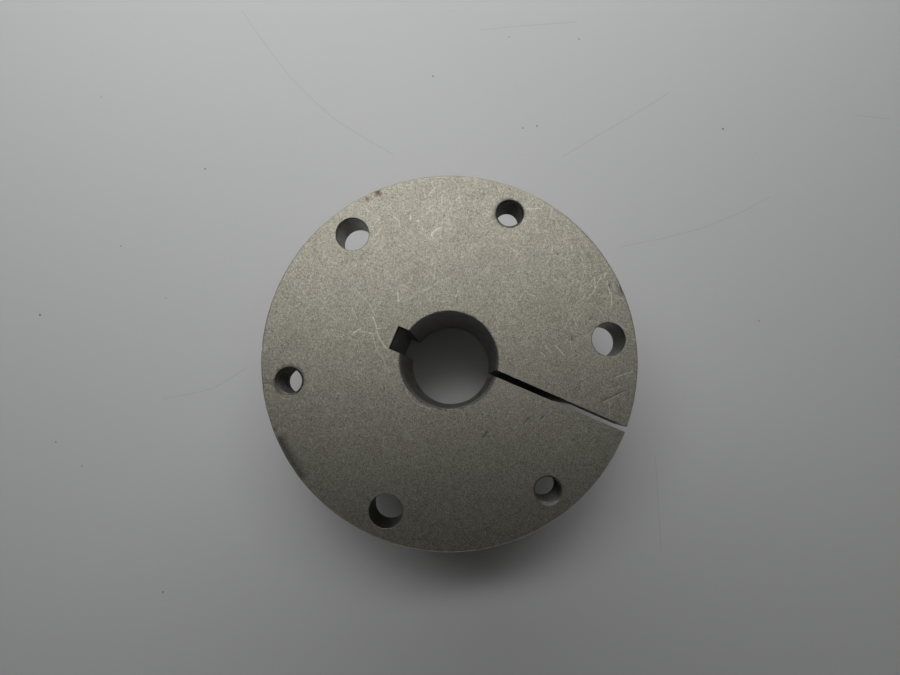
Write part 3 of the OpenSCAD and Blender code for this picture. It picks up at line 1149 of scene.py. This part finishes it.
def make_floor():
    """A pale floor, which the part stands on, with a few faint hairlines and specks, and a painted glow that fades it
    into the pale backdrop further out.
    """
    half = 3.0
    mesh = bpy.data.meshes.new("floor")
    mesh.from_pydata([(-half, -half, 0), (half, -half, 0), (half, half, 0), (-half, half, 0)], [], [(0, 1, 2, 3)])
    floor = bpy.data.objects.new("floor", mesh)
    bpy.context.scene.collection.objects.link(floor)
    surface = Surface("pale_floor")
    surface.set("Base Color", FLOOR_COLOR)
    surface.set("Roughness", 0.7)
    # Painted glow: further out, the floor glows up to the backdrop's strength for the camera and for reflections
    fade = surface.spread(surface.vector_math("LENGTH", surface.place), FADE_START, FADE_END, 0, BACKDROP)
    surface.set("Emission Color", (1, 1, 1))
    surface.set("Emission Strength", surface.math("MULTIPLY", fade, seen_directly(surface.tree)))
    mesh.materials.append(surface.material)
    make_floor_marks()


def make_floor_marks():
    """Hairlines and specks that lie just over the floor."""
    level = 0.02
    points, faces, finish = [], [], []
    for path in FLOOR_LINES.values():
        line = np.array([on_face(pixel, 0) for pixel in path])
        along = np.gradient(line, axis=0)
        side = np.column_stack([-along[:, 1], along[:, 0]]) / np.linalg.norm(along, axis=1)[:, None] * 0.11
        start = len(points)
        for middle, offset in zip(line, side):
            points += [(*(middle + offset), level), (*(middle - offset), level)]
        for i in range(start, len(points) - 2, 2):
            faces.append((i, i + 1, i + 3, i + 2))
            finish.append(0)
    for number, (x, y, radius) in enumerate(FLOOR_SPECKS.values()):
        middle = np.array(on_face((x, y), 0))
        start = len(points)
        angle = np.linspace(0, math.tau, 13)[:-1]
        reach = radius * 0.55 * (1 + 0.3 * wobble(angle, number, 1, 4))
        stretch = (1.0, 0.45 + 0.5 * math.sin(number * 2.4) ** 2)
        turned = np.column_stack([reach * np.cos(angle) * stretch[0], reach * np.sin(angle) * stretch[1]])
        turn = number * 1.1
        spin = np.array(((math.cos(turn), -math.sin(turn)), (math.sin(turn), math.cos(turn))))
        points += [(*(middle + spin @ p), level) for p in turned]
        faces.append(tuple(range(start, start + 12)))
        finish.append(1)
    mesh = bpy.data.meshes.new("floor_marks")
    mesh.from_pydata([tuple(c * METRES for c in p) for p in points], [], faces)
    for name, share in (("floor_hairline", 0.86), ("floor_speck", 0.4)):
        surface = Surface(name)
        surface.set("Base Color", tuple(c * share for c in FLOOR_COLOR))
        surface.set("Roughness", 0.7)
        mesh.materials.append(surface.material)
    mesh.polygons.foreach_set("material_index", np.array(finish, dtype=np.int32))
    marks = bpy.data.objects.new("floor_marks", mesh)
    bpy.context.scene.collection.objects.link(marks)


def make_camera():
    """The camera at the photograph's place, looking nearly straight down."""
    data = bpy.data.cameras.new("camera")
    data.sensor_width = SENSOR_MM
    data.lens = FOCAL_PX / PHOTO_W * SENSOR_MM
    data.clip_start = 0.01
    camera = bpy.data.objects.new("camera", data)
    matrix = camera_matrix()
    matrix.translation = matrix.translation * METRES
    camera.matrix_world = matrix
    bpy.context.scene.collection.objects.link(camera)
    bpy.context.scene.camera = camera


def make_area_light(name, bearing_deg, off_vertical_deg, distance, size, watts):
    """A soft light aimed at the flange face, with its long side level. The bearing is the photograph's, from right."""
    data = bpy.data.lights.new(name, "AREA")
    data.shape = "RECTANGLE"
    data.size = size[0] * METRES
    data.size_y = size[1] * METRES
    data.energy = watts
    light = bpy.data.objects.new(name, data)
    bearing, lean = math.radians(bearing_deg), math.radians(off_vertical_deg)
    plan = photo_direction(math.cos(bearing), math.sin(bearing))
    away = Vector((*(plan * math.sin(lean)), math.cos(lean)))
    level = Vector((*photo_direction(-math.sin(bearing), math.cos(bearing)), 0))
    turn = Matrix((level, away.cross(level), away)).transposed().to_4x4()
    place = (away * distance + Vector((0, 0, FACE_Z))) * METRES
    light.matrix_world = Matrix.Translation(place) @ turn
    bpy.context.scene.collection.objects.link(light)


def make_spot_light(name, bearing_deg, off_vertical_deg, distance, radius, cone_deg, aim, watts):
    """A soft round lamp that fades across the frame, as a ceiling lamp does beside whoever takes the picture."""
    data = bpy.data.lights.new(name, "SPOT")
    data.shadow_soft_size = radius * METRES
    data.energy = watts
    data.spot_size = math.radians(2 * cone_deg)
    data.spot_blend = 1.0
    light = bpy.data.objects.new(name, data)
    bearing, lean = math.radians(bearing_deg), math.radians(off_vertical_deg)
    plan = photo_direction(math.cos(bearing), math.sin(bearing)) * math.sin(lean) * distance
    place = Vector((*plan, math.cos(lean) * distance + FACE_Z))
    target = Vector((*photo_direction(*aim), 0))
    turn = (target - place).to_track_quat("-Z", "Y").to_matrix().to_4x4()
    light.matrix_world = Matrix.Translation(place * METRES) @ turn
    bpy.context.scene.collection.objects.link(light)


def add_node(tree, kind, operation, *values):
    """A math node of a tree, with its inputs linked or set."""
    node = tree.nodes.new(kind)
    node.operation = operation
    for socket, value in zip(node.inputs, values):
        if isinstance(value, bpy.types.NodeSocket):
            tree.links.new(value, socket)
        else:
            socket.default_value = value
    return node


def seen_directly(tree):
    """1 for rays from the camera and for reflections, which show the background, and 0 for light on the object."""
    path = tree.nodes.new("ShaderNodeLightPath")
    seen = (path.outputs["Is Camera Ray"], path.outputs["Is Glossy Ray"])
    return add_node(tree, "ShaderNodeMath", "MAXIMUM", *seen).outputs[0]


def make_world():
    """The room: soft light from near the horizon, and a pale background. Overhead it is dark, as whoever takes the
    picture is there."""
    world = bpy.data.worlds.new("room")
    bpy.context.scene.world = world
    world.use_nodes = True
    tree = world.node_tree
    background = tree.nodes["Background"]
    background.inputs["Color"].default_value = (1, 1, 1, 1)
    direction = tree.nodes.new("ShaderNodeTexCoord").outputs["Generated"]
    split = tree.nodes.new("ShaderNodeSeparateXYZ")
    tree.links.new(direction, split.inputs[0])
    upper = add_node(tree, "ShaderNodeVectorMath", "DOT_PRODUCT", direction, (*photo_direction(0, 1), 0))

    def ramp(value, low, high, to_low, to_high):
        node = tree.nodes.new("ShaderNodeMapRange")
        node.interpolation_type = "SMOOTHSTEP"
        for name, number in zip(("From Min", "From Max", "To Min", "To Max"), (low, high, to_low, to_high)):
            node.inputs[name].default_value = number
        tree.links.new(value, node.inputs["Value"])
        return node.outputs["Result"]

    side = ramp(upper.outputs["Value"], -0.3, 0.9, HORIZON, HORIZON_UPPER)
    band = ramp(split.outputs[2], 0, 0.35, 1, 0)
    light = add_node(tree, "ShaderNodeMath", "MULTIPLY", band, side).outputs[0]
    backdrop = ramp(split.outputs[2], 0.1, 0.65, BACKDROP, 0)
    shown = add_node(tree, "ShaderNodeMath", "MULTIPLY", backdrop, seen_directly(tree)).outputs[0]
    strength = add_node(tree, "ShaderNodeMath", "MAXIMUM", light, shown)
    tree.links.new(strength.outputs[0], background.inputs["Strength"])


make_camera()
make_world()
make_floor()
for name, bearing_deg, off_vertical_deg, distance, size, watts in LIGHTS:
    make_area_light(name, bearing_deg, off_vertical_deg, distance, size, watts)
for name, bearing_deg, off_vertical_deg, distance, radius, cone_deg, aim, watts in SPOTS:
    make_spot_light(name, bearing_deg, off_vertical_deg, distance, radius, cone_deg, aim, watts)
make_bushing()
bpy.context.scene.view_settings.view_transform = "Standard"
